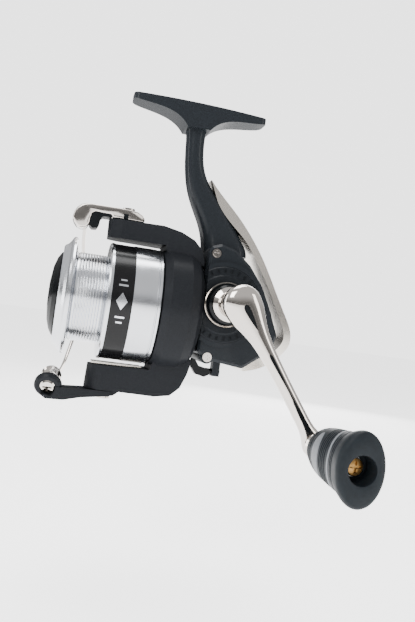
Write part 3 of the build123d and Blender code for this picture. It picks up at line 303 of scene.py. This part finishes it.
def arm_mesh(inset):
    stops = [-HUB_R * math.cos(math.pi / 2 * i / 14) for i in range(14)]
    stops += [TIP_S * i / 72 for i in range(73)]
    stops += [TIP_S + TIP_R * math.sin(math.pi / 2 * i / 12) for i in range(1, 13)]
    stops[0], stops[-1] = -HUB_R + 0.02, TIP_S + TIP_R - 0.02
    rings = []
    for s in stops:
        w, t, c = arm_section(s)
        w, t = max(w - inset, 0.05), max(t - inset, 0.05)
        ring = []
        for i in range(48):
            a = math.tau * i / 48
            ca, sa = math.cos(a), math.sin(a)
            power = 0.86 if sa > 0 else 0.72
            ring.append(on_arm(s, w * math.copysign(abs(ca) ** power, ca),
                               c + t * math.copysign(abs(sa) ** power, sa)))
        rings.append(ring)
    return loft(rings)


def groove(points, depth=0.8):
    """A cutter along the arm's outer face; points give its half-width."""
    rings = []
    first, last = points[0][0], points[-1][0]
    for i in range(41):
        s = first + (last - first) * i / 40
        g = max(curve_at(points, s), 0.05)
        _, t, c = arm_section(s)
        floor_out = c + t - depth
        rings.append([on_arm(s, -g, floor_out), on_arm(s, g, floor_out), on_arm(s, g, 53), on_arm(s, -g, 53)])
    return loft(rings)


def handle_arm():
    arm = thing("handle_arm_shell", arm_mesh(0.0))
    core = thing("arm_core", arm_mesh(0.3))
    cutters = []
    for i, points in enumerate((
            [(0.2, 0.1), (0.7, 0.8), (2.2, 1.15), (5, 0.95), (8.5, 0.5), (10.6, 0.1)],
            [(20.5, 0.1), (21.2, 0.6), (24, 0.62), (30, 0.42), (35, 0.22), (40, 0.35), (46, 0.75), (51.5, 0.95),
             (52.6, 0.1)])):
        cutters.append(thing("cutter_%d" % i, groove(points)))
        boolean(arm, cutters[-1], "DIFFERENCE")
    for i, cutter in enumerate(cutters):
        boolean(cutter, core, "INTERSECT")
        cutter.name = ("arm_slot_hub", "arm_slot_long")[i]
        finish(cutter, "disc_black", "crank", ("arm_inlays",))
    bpy.data.objects.remove(core)
    finish(arm, "chrome", "crank", ("handle_arm",))


handle_arm()

# The knob: an oval barrel with grooves, swelling to its end face, with a deep hole over the screw.
# Half-width and half-height at each distance out.
KNOB_HX = [(52, 4.6), (53, 5.3), (56, 6.1), (59, 6.6), (63, 7.0), (70, 7.2), (76, 7.2), (80, 7.65), (84, 8.25),
           (85.6, 8.25), (86.6, 7.7), (87, 7.0)]
KNOB_HZ = [(52, 5.2), (53, 6.2), (56, 7.6), (59, 8.6), (63, 9.3), (70, 10.0), (76, 10.4), (80, 11.3), (84, 12.3),
           (85.6, 12.35), (86.6, 11.8), (87, 11.0)]
KNOB_GROOVES = [55.6, 57.2, 58.8, 68.8, 70.1, 71.4, 72.7, 78.2, 79.5]
SIDES = 72


def on_knob(x, out, z):
    return m(KNOB_X + x, -out, KNOB_Z + z)


def knob_ring(out, hx, hz):
    angles = [math.tau * i / SIDES for i in range(SIDES)]
    return [on_knob(hx * math.cos(a), out, hz * math.sin(a)) for a in angles]


def knob():
    outs = {52 + 0.7 * i for i in range(51)} | {86.6, 86.8, 87}
    outs = {o for o in outs if all(abs(o - g) > 0.46 for g in KNOB_GROOVES)}
    outs |= {g + d for g in KNOB_GROOVES for d in (-0.42, -0.26, -0.14, 0.14, 0.26, 0.42)}
    rings = []
    for out in sorted(outs):
        dip = 0.0
        for g in KNOB_GROOVES:
            dip = max(dip, 0.5 * min(1.0, max(0.0, (0.42 - abs(out - g)) / 0.26)))
        rings.append(knob_ring(out, curve_at(KNOB_HX, out) - dip, curve_at(KNOB_HZ, out) - dip))
    # the hole in the end face, then the bore over the knob's core
    rings += [knob_ring(out, r, r) for out, r in ((87.0, 5.2), (86.9, 4.9), (86.6, 4.8), (79.2, 4.8), (79.2, 3.45),
                                                  (52.0, 3.45))]
    finish(thing("knob_grip_shell", loft(rings, closed=True)), "grip_rubber", "knob", ("knob_grip",))

    for side, label in ((-1, "near"), (1, "far")):
        top, under = [], []
        for r in [0.02] + [i / 8 for i in range(1, 9)]:
            for row, proud in ((top, 0.14 if r < 0.99 else 0.02), (under, -0.5)):
                ring = []
                for i in range(40):
                    a = math.tau * i / 40
                    out, z = 64.2 + 2.9 * r * math.cos(a), 7.6 * r * math.sin(a)
                    hz = curve_at(KNOB_HZ, out)
                    x = curve_at(KNOB_HX, out) * math.sqrt(max(0.0, 1 - (z / hz) ** 2)) + proud
                    ring.append(on_knob(side * x, out, z))
                row.append(ring)
        finish(thing("knob_oval_" + label, loft(top + under[::-1])), "grip_inlay", "knob", ("knob_inlays",))

    rings = [[], [], [], []]
    for i in range(SIDES):
        a = math.tau * i / SIDES
        mid = 75.0 + 0.7 * math.cos(2 * a)
        for row, (d, proud) in zip(rings, ((-0.8, -0.4), (-0.55, 0.12), (0.55, 0.12), (0.8, -0.4))):
            out = mid + d
            row.append(on_knob((curve_at(KNOB_HX, out) + proud) * math.cos(a), out,
                               (curve_at(KNOB_HZ, out) + proud) * math.sin(a)))
    finish(thing("knob_band", loft(rings, closed=True)), "grip_inlay", "knob")

    rings = [knob_ring(out, r, r) for out, r in
             ((80.0, 1.2), (80.0, 3.0), (80.8, 3.0), (81.2, 2.7), (81.4, 1.9), (81.5, 0.8))]
    head = thing("knob_screw_head", loft(rings))
    for w, h in ((1.9, 0.42), (0.42, 1.9)):
        cross = thing("cross", loft([[on_knob(x, out, z) for x, z in ((-w, -h), (w, -h), (w, h), (-w, h))]
                                     for out in (80.7, 82.5)]))
        boolean(head, cross, "DIFFERENCE")
        bpy.data.objects.remove(cross)
    finish(head, "brass", "crank", ("knob_screw",))


knob()


PIVOT_X, PIVOT_HOLE_R = -42.0, 1.75     # the bail's pivot screw


def prism(name, outline, half_width, bevel, slot, body, nodes=(), pivot=False):
    """A side-view outline in millimetres given a thickness that may change along x, with rounded edges."""
    rings = [[m(x, side * half_width(x), z) for x, z in outline] for side in (-1, 1)]
    obj = thing(name, loft(rings))
    mod = obj.modifiers.new("round", "BEVEL")
    mod.width, mod.segments, mod.limit_method, mod.angle_limit = bevel / 1000, 4, "ANGLE", math.radians(50)
    baked(obj)
    if pivot:
        angles = [math.tau * i / 48 for i in range(48)]
        hole = thing("pivot_hole", loft([[m(PIVOT_X + PIVOT_HOLE_R * math.cos(a), PIVOT_HOLE_R * math.sin(a), z)
                                          for a in angles] for z in (30.0, 42.0)]))
        boolean(obj, hole, "DIFFERENCE")
        bpy.data.objects.remove(hole)
    return finish(obj, slot, body, nodes, 30)


# The bail's chrome holder: a flat bar that ends in a rounded lobe, with a black carrier under it.
def holder_half(x):
    return curve_at([(-64.3, 3.6), (-60, 4.6), (-50, 5.5), (-41, 6.0), (-37, 5.6), (-35, 4.4)], x)


prism("bail_holder_plate", [
    (-64.3, 32.6), (-63.9, 34.4), (-63.0, 36.0), (-61.5, 37.3), (-59.6, 38.0), (-57.4, 38.2), (-49.9, 38.2),
    (-43.6, 38.1), (-38.6, 37.6), (-36.4, 36.6), (-35.1, 35.0), (-35.6, 33.75), (-48.4, 33.75), (-49.4, 34.9),
    (-55.6, 35.1), (-56.9, 34.2), (-57.3, 32.4), (-57.5, 30.0), (-58.6, 28.3), (-60.4, 27.9), (-62.2, 28.4),
    (-63.6, 30.0), (-64.2, 31.4)],
    holder_half, 0.8, "chrome", "bail", ("bail_holder",), pivot=True)
prism("bail_carrier", [
    (-57.5, 34.6), (-56.6, 35.6), (-49.2, 35.6), (-48.6, 34.4), (-49.2, 33.85), (-52.2, 33.85), (-52.9, 33.2),
    (-53.3, 32.0), (-53.5, 30.0), (-54.2, 28.7), (-56.2, 28.5), (-57.2, 29.4), (-57.6, 31.0)],
    lambda x: holder_half(x) - 0.7, 0.4, "disc_black", "bail")
prism("bail_holder_window", [(-44.2, 33.9), (-44.2, 36.0), (-42.3, 36.0), (-42.3, 33.9)],
      lambda x: holder_half(x) + 0.04, 0.15, "disc_black", "bail", pivot=True)


TICKS = 30
DISC_MARK_R = 13.9      # middle of a tick, from the crank axis
DISC_FRONT = -8.3       # the cover disc is cut off in front of this x
TICK_LENGTH, TICK_WIDTH = 0.78, 0.29        # halves


def disc_marks():
    """The black ticks round the cover disc, each a little over the CAD's own."""
    for i in range(TICKS):
        a = math.tau * i / TICKS
        ca, sa = math.cos(a), math.sin(a)
        if DISC_MARK_R * ca < DISC_FRONT + 1.2:
            continue
        rings = []
        for out, grow in ((16.8, 0.04), (17.22, 0.04), (17.28, -0.04)):
            ring = []
            for j in range(12):
                b = math.tau * j / 12
                u = (TICK_LENGTH + grow) * math.copysign(abs(math.cos(b)) ** 0.5, math.cos(b))
                v = (TICK_WIDTH + grow) * math.copysign(abs(math.sin(b)) ** 0.5, math.sin(b))
                ring.append(m((DISC_MARK_R + u) * ca - v * sa, -out, CRANK_RISE + (DISC_MARK_R + u) * sa + v * ca))
            rings.append(ring)
        finish(thing("disc_mark_%02d" % i, loft(rings)), "disc_black", "body")


disc_marks()
frame["nodes"]["cover_disc"].data.materials[0] = painted("cover disc resin", (0.0110, 0.0125, 0.0145), 0.4, 0.12)


def arbor_rings():
    """The spool's line-laying rings, rounded so that they catch the light one by one."""
    front, rear, pitch, count, per_ring = -59.4, -48.4, 1.1, 10, 8
    angles = [math.tau * j / 128 for j in range(128)]
    stations = []
    for i in range(count * per_ring + 1):
        x = front + pitch * count * i / (count * per_ring)
        stations.append((x, 18.12 + 0.13 * math.cos(math.tau * i / per_ring + math.pi)))
    stations += [(rear, 17.7), (front, 17.7)]       # the inner side, under the arbor's surface
    rings = [[m(x, r * math.cos(a), r * math.sin(a)) for a in angles] for x, r in stations]
    finish(thing("spool_arbor_rings", loft(rings, closed=True)), "spool_silver", "spool", angle=60)


arbor_rings()


# ------------------------------------------------------------------------------------------------------
# Stage: floor, world, lights and camera
# ------------------------------------------------------------------------------------------------------
def floor():
    size, z = 30.0, -0.205      # radius and height in metres, clear under the knob
    mesh = bpy.data.meshes.new("studio_floor")
    bm = bmesh.new()
    ring = [bm.verts.new((size * math.cos(a), size * math.sin(a), z))
            for a in (math.tau * i / 64 for i in range(64))]
    bm.faces.new(ring)
    bm.to_mesh(mesh)
    bm.free()
    obj = bpy.data.objects.new("studio_floor", mesh)
    bpy.context.scene.collection.objects.link(obj)
    k = Nodes("pale floor")
    k.link(k.ramp(k.noise(3.0, 2.0), [(0.3, (0.90, 0.90, 0.90)), (0.7, (0.93, 0.93, 0.93))]),
           k.bsdf.inputs["Base Color"])
    k.set(Roughness=0.9, Emission_Color=(1, 1, 1, 1), Emission_Strength=1.9, Specular_IOR_Level=0.1)
    mesh.materials.append(k.mat)


def world():
    w = bpy.data.worlds.new("studio")
    bpy.context.scene.world = w
    w.use_nodes = True
    t = w.node_tree
    t.nodes.clear()
    out = t.nodes.new("ShaderNodeOutputWorld")
    mix = t.nodes.new("ShaderNodeMixShader")
    seen = t.nodes.new("ShaderNodeBackground")
    seen.inputs["Color"].default_value = (1, 1, 1, 1)
    seen.inputs["Strength"].default_value = 2.9
    lit = t.nodes.new("ShaderNodeBackground")
    lit.inputs["Strength"].default_value = 0.9
    coord = t.nodes.new("ShaderNodeTexCoord")
    sep = t.nodes.new("ShaderNodeSeparateXYZ")
    ramp = t.nodes.new("ShaderNodeValToRGB")
    rng = t.nodes.new("ShaderNodeMapRange")
    rng.inputs["From Min"].default_value = -1.0
    rng.inputs["From Max"].default_value = 1.0
    els = ramp.color_ramp.elements
    # from straight down (0) to straight up (1), with a darker belt just above the horizon
    stops = [(0.0, 0.5), (0.40, 0.5), (0.49, 0.22), (0.56, 0.30), (0.70, 1.0), (1.0, 1.0)]
    while len(els) < len(stops):
        els.new(0.5)
    for el, (pos, v) in zip(els, stops):
        el.position = pos
        el.color = (v, v, v * 1.01, 1)
    t.links.new(coord.outputs["Generated"], sep.inputs["Vector"])
    t.links.new(sep.outputs["Z"], rng.inputs["Value"])
    t.links.new(rng.outputs["Result"], ramp.inputs["Fac"])
    t.links.new(ramp.outputs["Color"], lit.inputs["Color"])
    path = t.nodes.new("ShaderNodeLightPath")
    t.links.new(path.outputs["Is Camera Ray"], mix.inputs["Fac"])
    t.links.new(lit.outputs["Background"], mix.inputs[1])
    t.links.new(seen.outputs["Background"], mix.inputs[2])
    t.links.new(mix.outputs["Shader"], out.inputs["Surface"])


def area(name, place, target, width, height, power, colour):
    light = bpy.data.lights.new(name, "AREA")
    light.shape = "RECTANGLE"
    light.size, light.size_y = width, height
    light.energy = power
    light.color = colour
    obj = bpy.data.objects.new(name, light)
    obj.location = place
    obj.rotation_euler = (Vector(target) - Vector(place)).to_track_quat("-Z", "Y").to_euler()
    bpy.context.scene.collection.objects.link(obj)


# The photograph's viewpoint: azimuth, elevation, roll and distance in metres.
AZ, EL, ROLL = math.radians(-12.5), math.radians(-1.6), math.radians(7.8)
DISTANCE = 0.281
FOCAL_PX, FRAME_HEIGHT_PX, SENSOR_MM = 655.0, 622.0, 36.0


def camera():
    target = m(-2.9, 0.0, 1.65)
    back = Vector((math.sin(AZ) * math.cos(EL), -math.cos(AZ) * math.cos(EL), math.sin(EL)))
    right = Vector((math.cos(AZ), math.sin(AZ), 0.0))
    up = Vector((-math.sin(AZ) * math.sin(EL), math.cos(AZ) * math.sin(EL), math.cos(EL)))
    r = right * math.cos(ROLL) + up * math.sin(ROLL)
    u = up * math.cos(ROLL) - right * math.sin(ROLL)
    cam = bpy.data.cameras.new("photo_camera")
    cam.sensor_width = SENSOR_MM
    cam.lens = FOCAL_PX * SENSOR_MM / FRAME_HEIGHT_PX
    cam.clip_start = 0.01
    obj = bpy.data.objects.new("photo_camera", cam)
    rot = Matrix((r, u, back)).transposed().to_4x4()
    obj.matrix_world = Matrix.Translation(target + back * DISTANCE) @ rot
    bpy.context.scene.collection.objects.link(obj)
    bpy.context.scene.camera = obj


floor()
world()
CENTRE = m(-15, 0, 10)
for label, place, width, height, power, colour in (
        ("key", (-0.55, -0.75, 0.55), 0.5, 0.5, 9.0, (1, 1, 1)),
        ("fill", (0.75, -0.65, 0.10), 0.25, 0.9, 3.5, (1.0, 0.98, 0.95)),
        ("top", (-0.05, 0.05, 0.75), 0.7, 0.4, 8.0, (1, 1, 1)),
        ("rim", (0.35, 0.75, 0.25), 0.4, 0.8, 5.0, (1, 1, 1)),
        ("left", (-0.85, 0.10, -0.02), 0.2, 0.9, 4.0, (1, 1, 1))):
    area(label, place, CENTRE, width, height, power, colour)
camera()
